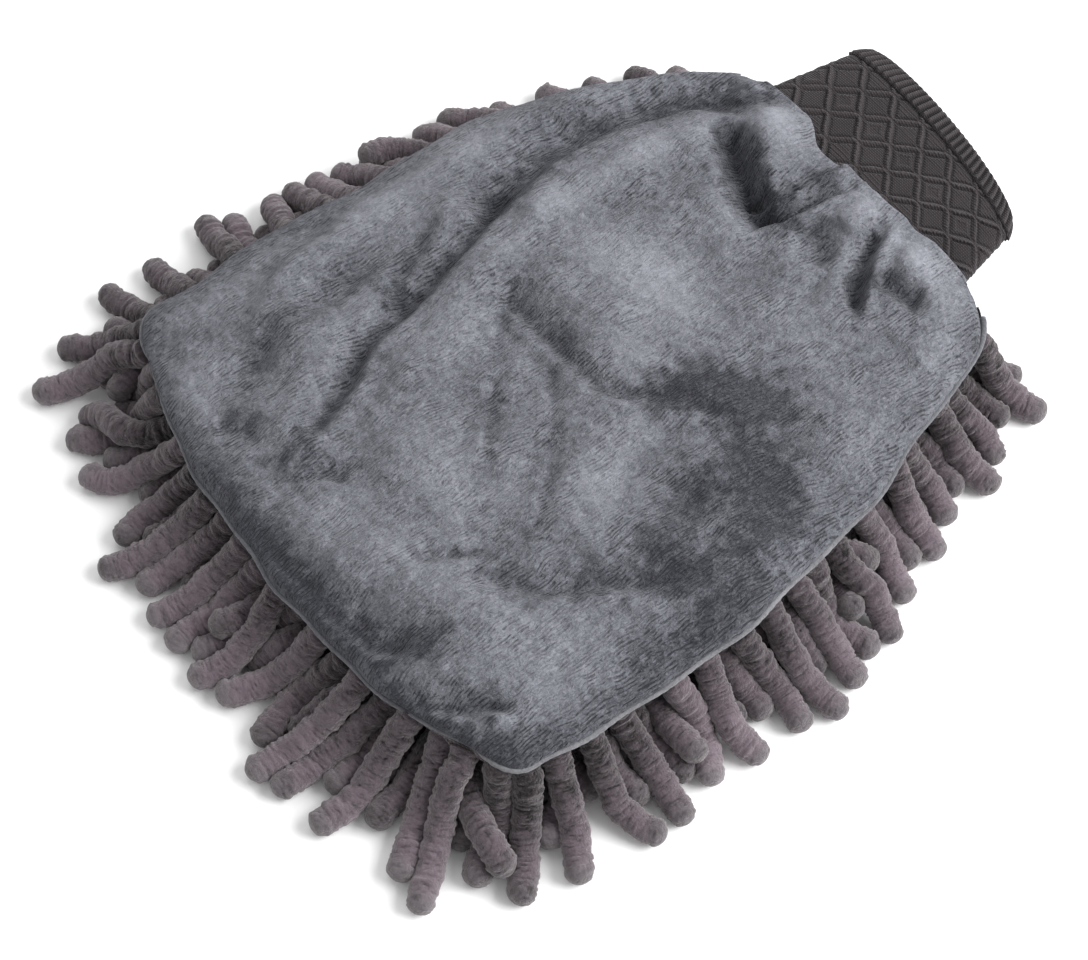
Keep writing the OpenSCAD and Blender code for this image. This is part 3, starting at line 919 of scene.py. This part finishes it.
CUFF_SHEAR = -0.12           # the cuff lies a little askew, and its hem is bowed and drawn in
HEM_SET = -5.0
HEM_BOW = -0.0020
CUFF_ROOT_W = 97.0
JACQUARD_X = 3.0             # a plain cell of the jacquard is centred here
JACQUARD_Y = 121.0
HEM_W = hem_high[0] - hem_low[0] - 1.0
CUFF_T = sleeve_high[2] - sleeve_low[2]
KNIT_T = 1.7
HEM_Y = hem_high[1]
HEM_L = hem_high[1] - hem_low[1]
HEM_CORNER = 13.0


def cuff_half(y):
    t = clamp01((y - MOUTH_Y) / (HEM_Y - MOUTH_Y))
    flat = CUFF_ROOT_W + (HEM_W - CUFF_ROOT_W) * t
    curve = clamp01((y - HEM_Y + HEM_CORNER) / HEM_CORNER)
    return flat / 2 - HEM_CORNER * 0.55 * (1 - np.sqrt(1 - 0.985 * curve ** 2))


def cuff_point(a, n, y):
    """A point at angle a round the cuff, n out from its face, at y before the cuff is skewed."""
    power = 2 / CUFF_POWER
    c = np.cos(a)
    s = np.sin(a)
    x = (cuff_half(y) + n) * np.sign(c) * np.abs(c) ** power
    z = CUFF_Z + (CUFF_T / 2 + n) * np.sign(s) * np.abs(s) ** power
    t = clamp01((y - MOUTH_Y) / (HEM_Y - MOUTH_Y))
    skewed = y + t * (CUFF_SHEAR * x + HEM_SET + HEM_BOW * x * x)
    z = z - t * 1.2 * np.cos(x / 24) * (z > CUFF_Z) + 0.5 * t * np.sin(x / 15 + 1)
    return np.stack([x + 0 * y, skewed, z], axis=-1)


def flat_across(a):
    """The distance across the flattened cuff of a point at angle a, the same on both layers."""
    c = np.cos(a)
    return np.sign(c) * np.abs(c) ** (2 / CUFF_POWER)


def ring_angles(count):
    """Angles round the cuff that space points evenly round its flattened section."""
    a = np.linspace(0, TAU, 4001)
    p = cuff_point(a, 0.0, np.full(a.shape, MOUTH_Y))
    s = np.r_[0, np.cumsum(np.linalg.norm(np.diff(p, axis=0), axis=1))]
    return np.interp(np.linspace(0, s[-1], count, endpoint=False), s, a)


def diamond_relief(x, y):
    """Height of the jacquard: beaded cords round long cells, each row of cells filled its own way."""
    wide = 15.1
    half_row = 8.1
    v = (y - JACQUARD_Y) / half_row
    from_crossing = np.abs(v - np.round(v))
    v = (v + 0.035 * np.sin(TAU * v)) / 2
    p = (x - JACQUARD_X) / wide + v
    q = (x - JACQUARD_X) / wide - v
    i = np.floor(p)
    j = np.floor(q)
    fp = p - i
    fq = q - j
    edge = np.minimum(np.minimum(fp, 1 - fp), np.minimum(fq, 1 - fq))
    edge_mm = edge * wide * 2 * half_row / math.hypot(wide, 2 * half_row)
    beads = (0.92 + 0.16 * np.cos(TAU * y / 1.5)) * (0.30 + 0.70 * smooth(from_crossing / 0.13))
    cord = np.exp(-(edge_mm / 0.60) ** 2) * beads
    gutter = np.exp(-((edge_mm - 1.35) / 0.42) ** 2) * smooth(from_crossing / 0.10)
    row = (i - j) % 4
    ribs = 0.5 + 0.5 * np.cos(TAU * y / 1.35)
    dots = np.clip(2.4 * np.cos(TAU * x / 1.9) * np.cos(TAU * y / 1.9) - 0.6, 0, 1)
    inside = smooth((edge_mm - 1.7) / 0.5)
    ring = np.exp(-((edge_mm - 3.0) / 0.45) ** 2)
    half_filled = smooth((fp - fq) / 0.1)
    fill = np.where(row == 0, 0.0, np.where(row == 1, 1.2 * dots * half_filled + 0.8 * ring,
                                            np.where(row == 3, 0.9 * ribs, 0.6 * ribs * half_filled)))
    return 0.80 * cord - 0.45 * gutter + inside * 0.30 * fill


def knit_sleeve():
    """The cuff's knit, from the seam inside the mouth to the hem."""
    around = 480
    start = root_low[1]
    end = HEM_Y - HEM_L + 0.2
    rows = 124
    a = ring_angles(around)
    y = np.linspace(start, end, rows)
    aa, yy = np.meshgrid(a, y)
    across = flat_across(aa) * cuff_half(yy)
    relief = diamond_relief(across, yy)
    at_fold = smooth((np.abs(across) / cuff_half(yy) - 0.93) / 0.06)
    outer_n = relief * smooth((end - yy) / 1.2) * (1 - 0.7 * at_fold)
    gather = 0.5 * np.cos(across * 0.55 + 0.7 * np.sin(yy / 6)) * smooth((HINGE_Y + 14 - yy) / 18)
    outer = cuff_point(aa, outer_n + gather * 0.35, yy)
    inner_rows = rows // 4
    yi = np.linspace(end, start, inner_rows)
    ai, yi = np.meshgrid(a, yi)
    inner = cuff_point(ai, np.full(ai.shape, -KNIT_T), yi)
    points = np.concatenate([outer, inner]).reshape(-1, 3)
    total = rows + inner_rows
    quads = grid_quads(total, around, closed_rows=True, closed_columns=True)
    cord = np.concatenate([relief.ravel(), np.zeros(inner_rows * around)])
    return new_piece("knit_sleeve", points, quads[:, ::-1], attributes={"relief": cord})


def knit_hem():
    """The ribbed hem, folded back on itself round a channel for the elastic."""
    around = 560
    a = ring_angles(around)
    y0 = HEM_Y - HEM_L
    profile = []
    outside = 26
    for k in range(outside):
        profile.append((0.9, y0 + 0.15 + (HEM_L - 2.2) * k / (outside - 1), 1.0))
    for k in range(1, 8):
        turn = math.pi * k / 8
        out = -0.55 + 1.45 * math.cos(turn)
        profile.append((out, HEM_Y - 2.05 + 1.6 * math.sin(turn), 0.4 * math.cos(turn / 2)))
    for k in range(8):
        profile.append((-2.0, HEM_Y - 2.05 - (HEM_L - 2.2) * k / 7, 0.0))
    for n, y in ((-1.2, y0 + 0.15), (-1.2, HEM_Y - 4), (-0.2, HEM_Y - 4), (-0.2, y0 + 0.15)):
        profile.append((n, y, 0.0))
    n, y, ribbed = np.array(profile).T
    aa, nn = np.meshgrid(a, n)
    yy = np.broadcast_to(y[:, None], aa.shape)
    perimeter = ring_length(a)
    ribs = round(perimeter[-1] / 2.9)
    phase = perimeter[:-1] / perimeter[-1] * ribs * TAU
    rib = np.clip(0.42 + 0.95 * np.cos(phase), 0, 1)[None]
    lift = 1.15 * rib * ribbed[:, None] * smooth((yy - y0) / 0.8)
    outer = cuff_point(aa, nn + lift - 0.35 * ribbed[:, None], yy)
    quads = grid_quads(len(n), around, closed_rows=True, closed_columns=True)
    depth = rib * ribbed[:, None]
    return new_piece("knit_hem", outer.reshape(-1, 3), quads[:, ::-1], attributes={"relief": depth.ravel()})


def ring_length(a):
    """Running length round the cuff's hem at the angles a, with the whole length at the end."""
    closed = np.r_[a, a[0] + TAU]
    p = cuff_point(closed, 0.0, np.full(closed.shape, HEM_Y - HEM_L))
    return np.r_[0, np.cumsum(np.linalg.norm(np.diff(p, axis=0), axis=1))]


def hem_elastic():
    """Two rings of elastic thread that lie in the hem's channel."""
    a = ring_angles(200)
    sides = 8
    points = []
    quads = []
    for k in range(2):
        path = cuff_point(a, -0.7, np.full(a.shape, HEM_Y - HEM_L + 1.2 + 1.4 * k))
        closed = np.concatenate([path[-1:], path, path[:1]])
        ring = tube_points(closed, 0.3, sides)[1:-1]
        points.append(ring.reshape(-1, 3))
        first = k * len(a) * sides
        quads.append(grid_quads(len(a), sides, closed_rows=True, closed_columns=True, first=first))
    return new_piece("hem_elastic", np.concatenate(points), np.concatenate(quads))


# ---------------------------------------------------------------- materials

class Shader:
    """A small helper that adds nodes to a new material."""

    def __init__(self, name):
        self.material = bpy.data.materials.new(name)
        self.material.use_nodes = True
        self.tree = self.material.node_tree
        self.surface = self.tree.nodes["Principled BSDF"]
        self.object = self.add("TexCoord").outputs["Object"]

    def add(self, kind, inputs=None, **settings):
        node = self.tree.nodes.new("ShaderNode" + kind)
        for key, value in settings.items():
            setattr(node, key, value)
        for key, value in (inputs or {}).items():
            self.set(node.inputs[key], value)
        return node

    def set(self, socket, value):
        if isinstance(value, bpy.types.NodeSocket):
            self.tree.links.new(value, socket)
        elif socket.type == "RGBA" and len(value) == 3:
            socket.default_value = (*value, 1)
        else:
            socket.default_value = value

    def attribute(self, name):
        return self.add("Attribute", attribute_name=name).outputs["Fac"]

    def math(self, operation, a, b):
        return self.add("Math", {0: a, 1: b}, operation=operation).outputs[0]

    def stretch(self, scale):
        """Object coordinates multiplied by a scale along each axis."""
        return self.add("Mapping", {"Vector": self.object, "Scale": scale}).outputs[0]

    def noise(self, scale, detail=3.0, rough=0.55, vector=None, distortion=0.0):
        node = self.add("TexNoise", {"Vector": vector or self.object, "Scale": scale, "Detail": detail,
                                     "Roughness": rough, "Distortion": distortion})
        return node.outputs["Fac"]

    def bands(self, vector, scale, direction, distortion, **detail):
        """Parallel waves across one direction."""
        inputs = {"Vector": vector, "Scale": scale, "Distortion": distortion}
        inputs.update((key.replace("_", " "), value) for key, value in detail.items())
        return self.add("TexWave", inputs, wave_type="BANDS", bands_direction=direction).outputs["Fac"]

    def vary(self, value, noise, gain):
        """A value moved up and down by a noise that lies round a half."""
        return self.math("ADD", value, self.math("MULTIPLY", self.math("SUBTRACT", noise, 0.5), gain))

    def weigh(self, a, share_a, b, share_b):
        """The sum of two values, each times its share."""
        return self.math("ADD", self.math("MULTIPLY", a, share_a), self.math("MULTIPLY", b, share_b))

    def ramp(self, value, low, high):
        """Maps value from low..high to 0..1, smoothly, clamped."""
        node = self.add("MapRange", {"Value": value, "From Min": low, "From Max": high},
                        interpolation_type="SMOOTHSTEP")
        return node.outputs[0]

    def mix(self, share, a, b):
        node = self.add("Mix", {0: share, 6: a, 7: b}, data_type="RGBA")
        return node.outputs[2]

    def bump(self, height, distance, strength):
        inputs = {"Height": height, "Distance": distance, "Strength": strength}
        return self.add("Bump", inputs).outputs[0]

    def finish(self, color, roughness, normal, sheen=0.0, sheen_tint=(1, 1, 1), sheen_rough=0.5,
               specular=0.3):
        s = self.surface.inputs
        self.set(s["Base Color"], color)
        self.set(s["Roughness"], roughness)
        self.set(s["Normal"], normal)
        s["Sheen Weight"].default_value = sheen
        s["Sheen Roughness"].default_value = sheen_rough
        s["Sheen Tint"].default_value = (*sheen_tint, 1)
        s["Specular IOR Level"].default_value = specular
        return self.material


def plush_material():
    m = Shader("plush_nap")
    nap = m.attribute("nap")
    hatch_and_shade = m.attribute("hatch_and_shade")
    drift = m.add("TexNoise", {"Vector": m.object, "Scale": 55, "Detail": 2}).outputs["Color"]
    bent = m.add("VectorMath", {0: drift, 1: (0.006, 0.006, 0.006)}, operation="MULTIPLY").outputs[0]
    bent = m.add("VectorMath", {0: m.object, 1: bent}, operation="ADD").outputs[0]
    narrow = m.add("Mapping", {"Vector": bent, "Scale": (1, 0.10, 0.3)}).outputs[0]
    lines = m.bands(narrow, 290, "X", 3.4, Detail=3.0, Detail_Scale=2.4)
    dashes = m.noise(430, 2, 0.6, m.add("Mapping", {"Vector": bent, "Scale": (1.6, 0.6, 1.0)}).outputs[0])
    line = m.math("MULTIPLY", m.ramp(lines, 0.35, 0.85), m.ramp(dashes, 0.42, 0.62))
    fibre = m.noise(1150, 3, 0.7, m.stretch((1.2, 0.55, 1.0)), 1.2)
    mottle = m.noise(480, 3, 0.7)
    cloud = m.noise(75, 4, 0.6)
    shade = m.vary(m.vary(m.vary(nap, mottle, 0.55), cloud, 0.10), fibre, 1.25)
    # Painted shade in part: the hatch lines darken more in fold valleys and at the edge.
    dark_line = m.math("MULTIPLY", line, m.math("MULTIPLY", hatch_and_shade, 0.34))
    shade = m.math("SUBTRACT", shade, dark_line)
    color = m.mix(m.ramp(shade, -0.25, 1.25), (0.024, 0.025, 0.031), (0.288, 0.295, 0.33))
    height = m.weigh(fibre, 0.7, mottle, 0.6)
    height = m.math("SUBTRACT", height, m.math("MULTIPLY", line, m.math("MULTIPLY", hatch_and_shade, 0.7)))
    normal = m.bump(height, 0.0009, 0.9)
    rough = m.math("ADD", 0.82, m.math("MULTIPLY", fibre, 0.15))
    return m.finish(color, rough, normal, sheen=0.18, sheen_tint=(0.9, 0.92, 1.0), sheen_rough=0.45,
                    specular=0.12)


def chenille_material():
    m = Shader("chenille_yarn")
    groove = m.attribute("groove")
    tone_and_painted_light = m.attribute("tone_and_painted_light")
    along = m.attribute("along")
    fuzz = m.noise(1100, 4, 0.7)
    soft = m.noise(260, 3, 0.6)
    tip = m.ramp(along, 0.8, 1.0)
    base = m.mix(tip, (0.142, 0.111, 0.129), (0.130, 0.117, 0.125))
    # Painted shade: darker towards the roots, under the face's overhang.
    painted_root_shade = m.math("SUBTRACT", 1.0, m.ramp(along, 0.20, 0.80))
    # The tone attribute brings painted shade on the lower layers.
    light = m.math("ADD", 0.96, m.math("MULTIPLY", tone_and_painted_light, 0.11))
    light = m.math("SUBTRACT", light, m.math("MULTIPLY", painted_root_shade, 0.52))
    light = m.vary(m.vary(light, fuzz, 0.85), soft, 0.5)
    # Painted shade in the grooves of the crumpled yarn.
    light = m.math("SUBTRACT", light, m.math("MULTIPLY", groove, 0.55))
    value = m.add("HueSaturation", {"Color": base, "Value": light}).outputs[0]
    height = m.math("ADD", fuzz, m.math("MULTIPLY", soft, 0.8))
    normal = m.bump(height, 0.0008, 0.9)
    return m.finish(value, 0.95, normal, sheen=0.45, sheen_tint=(1.0, 0.95, 0.97), specular=0.1)


def knit_material(name, color_low, color_high, ribbed):
    m = Shader(name)
    relief = m.attribute("relief")
    loops = m.bands(m.stretch((1, 1, 0.5)), 420, "Y", 1.2)
    wales = m.bands(m.stretch((1, 1, 0.5)), 380, "X", 1.0)
    knit = m.math("MULTIPLY", loops, wales)
    fuzz = m.noise(1400, 3, 0.7)
    soft = m.noise(90, 3)
    # The colour follows the relief: raised cords and ribs are lighter, a painted highlight, and the gutters
    # beside the cords and the gaps between the ribs darker, painted shade; the cells' fills also change it
    # with their pattern.
    raised = m.math("MULTIPLY", relief, 0.75 if ribbed else 0.55)
    if not ribbed:
        raised = m.math("ADD", raised, 0.30)
    shade = m.math("ADD", raised, m.math("MULTIPLY", knit, 0.30))
    shade = m.vary(m.vary(shade, fuzz, 0.5), soft, 0.3)
    color = m.mix(m.ramp(shade, -0.2, 1.2), color_low, color_high)
    height = m.weigh(knit, 0.8, fuzz, 0.3)
    normal = m.bump(height, 0.0005, 0.7)
    return m.finish(color, 0.86, normal, sheen=0.15, sheen_rough=0.4, specular=0.25)


def woven_material(name, low, high, pitch):
    m = Shader(name)
    scale = 1000 / pitch / 2
    warp = m.bands(m.object, scale, "X", 0.6)
    weft = m.bands(m.object, scale, "Y", 0.6)
    weave = m.math("MULTIPLY", warp, weft)
    soft = m.noise(120, 4)
    shade = m.weigh(weave, 0.6, soft, 0.5)
    color = m.mix(m.ramp(shade, 0.1, 0.9), low, high)
    normal = m.bump(shade, 0.0004, 0.7)
    return m.finish(color, 0.8, normal, sheen=0.1, specular=0.25)


def thread_material(name, low, high):
    m = Shader(name)
    twist = m.bands(m.stretch((1, 1, 1)), 520, "DIAGONAL", 0.5)
    fuzz = m.noise(1800, 2)
    shade = m.weigh(twist, 0.6, fuzz, 0.5)
    color = m.mix(m.ramp(shade, 0.1, 0.9), low, high)
    normal = m.bump(shade, 0.0003, 0.8)
    return m.finish(color, 0.7, normal, sheen=0.1, specular=0.3)


def edge_material():
    m = Shader("edge_plush")
    fibre = m.noise(1300, 3, 0.6)
    soft = m.noise(120, 3)
    shade = m.weigh(fibre, 0.6, soft, 0.5)
    # A dark copy and a lighter copy of the edge's colour, mixed by the rim attribute: the lighter copy is a
    # painted highlight along the right side.
    dark = m.mix(m.ramp(shade, 0.2, 0.9), (0.045, 0.046, 0.052), (0.15, 0.153, 0.17))
    painted_lit_copy = m.mix(m.ramp(shade, 0.2, 0.9), (0.09, 0.09, 0.095), (0.24, 0.24, 0.25))
    color = m.mix(m.attribute("rim"), dark, painted_lit_copy)
    normal = m.bump(fibre, 0.0005, 0.7)
    return m.finish(color, 0.85, normal, sheen=0.3, sheen_tint=(0.9, 0.92, 1), specular=0.15)


def floor_material():
    m = Shader("studio_floor")
    grain = m.noise(30, 3)
    color = m.mix(grain, (0.96, 0.96, 0.96), (0.98, 0.98, 0.98))
    normal = m.bump(grain, 0.0001, 0.05)
    return m.finish(color, 0.75, normal, specular=0.1)


def dress(piece, material):
    piece.data.materials.clear()
    piece.data.materials.append(material)


# ---------------------------------------------------------------- studio

def studio():
    mesh = bpy.data.meshes.new("floor")
    half = 4.0
    corners = [(-half, -half, 0), (half, -half, 0), (half, half, 0), (-half, half, 0)]
    mesh.from_pydata(corners, [], [(0, 1, 2, 3)])
    floor = bpy.data.objects.new("floor", mesh)
    bpy.context.scene.collection.objects.link(floor)
    floor.location.z = -0.0005
    mesh.materials.append(floor_material())

    world = bpy.data.worlds.new("studio")
    bpy.context.scene.world = world
    world.use_nodes = True
    sky = world.node_tree.nodes["Background"].inputs
    sky["Color"].default_value = (1, 1, 1, 1)
    sky["Strength"].default_value = 0.64

    def softbox(name, place, target, size, power):
        light = bpy.data.lights.new(name, "AREA")
        light.shape = "RECTANGLE"
        light.size = size
        light.size_y = size
        light.energy = power
        lamp = bpy.data.objects.new(name, light)
        lamp.location = place
        aim = np.array(target) - np.array(place)
        lamp.rotation_euler = direction_euler(aim)
        bpy.context.scene.collection.objects.link(lamp)

    softbox("key", (0.80, 0.80, 1.05), (0, 0, 0.03), 1.1, 35)
    softbox("fill", (-0.6, 0.2, 1.3), (0, 0, 0.03), 0.9, 4)
    bpy.context.scene.view_settings.view_transform = "Standard"


def direction_euler(aim):
    return Vector(aim).to_track_quat("-Z", "Y").to_euler()


def camera():
    """The camera: 60 degrees above the floor, from the right of the finger end."""
    azimuth = math.radians(53)
    elevation = math.radians(60)
    back = np.array([math.sin(azimuth) * math.cos(elevation), -math.cos(azimuth) * math.cos(elevation),
                     math.sin(elevation)])
    look = np.array([19.7, -31.0, 17.6])  # the point looked at, in mm
    distance = 792.0
    data = bpy.data.cameras.new("camera")
    data.lens = 85
    data.sensor_width = 36
    data.clip_start = 0.01
    obj = bpy.data.objects.new("camera", data)
    obj.location = (look + back * distance) * MM
    obj.rotation_euler = direction_euler(-back)
    bpy.context.scene.collection.objects.link(obj)
    bpy.context.scene.camera = obj


# ---------------------------------------------------------------- assembly

camera()
studio()

face = plush_face()
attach(face, "mitt")
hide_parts("plush_panel")
dress(face, plush_material())

roll = edge_roll()
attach(roll, "mitt")
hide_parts("perimeter_seam")
dress(roll, edge_material())

backing = cloth_sheet("backing_cloth", 0.4, 1.0, SEAM_Z - 0.2, BACKING_Z + BACKING_T, BACKING_T, 70, 80, 0)
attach(backing, "mitt")
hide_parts("chenille_backing")
dress(backing, woven_material("backing_loops", (0.06, 0.05, 0.056), (0.19, 0.165, 0.175), 0.9))

lining_up = face_lining()
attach(lining_up, "mitt")
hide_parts("top_lining")
lining_look = woven_material("lining_weave", (0.05, 0.05, 0.056), (0.13, 0.13, 0.14), 0.5)
dress(lining_up, lining_look)

lining_down = cloth_sheet("lining_over_back", 2.6, 10.6, SEAM_Z + 0.2, BACKING_Z + BACKING_T + 1.6,
                          LINING_T, 60, 70, 0.3)
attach(lining_down, "mitt")
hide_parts("bottom_lining")
dress(lining_down, lining_look)

yarn = chenille_material()
for index, piece in enumerate(finger_pieces()):
    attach(piece, "mitt")
    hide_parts(f"finger_row_{index + 1:02d}")
    dress(piece, yarn)

sleeve = knit_sleeve()
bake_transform(sleeve)
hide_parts("cuff_root", "cuff_sleeve")
dress(sleeve, knit_material("cuff_knit", (0.005, 0.0041, 0.0045), (0.060, 0.051, 0.055), False))

hem = knit_hem()
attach(hem, "cuff")
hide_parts("cuff_hem")
dress(hem, knit_material("cuff_rib", (0.006, 0.005, 0.0056), (0.060, 0.052, 0.056), True))

elastic = hem_elastic()
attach(elastic, "cuff")
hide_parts("cuff_elastic")
dress(elastic, thread_material("elastic_thread", (0.3, 0.29, 0.28), (0.6, 0.59, 0.57)))

thread = thread_material("seam_thread", (0.05, 0.045, 0.05), (0.17, 0.155, 0.165))
for name in ("row_stitching", "mouth_seam"):
    for slot in frame["nodes"][name].material_slots:
        slot.material = thread
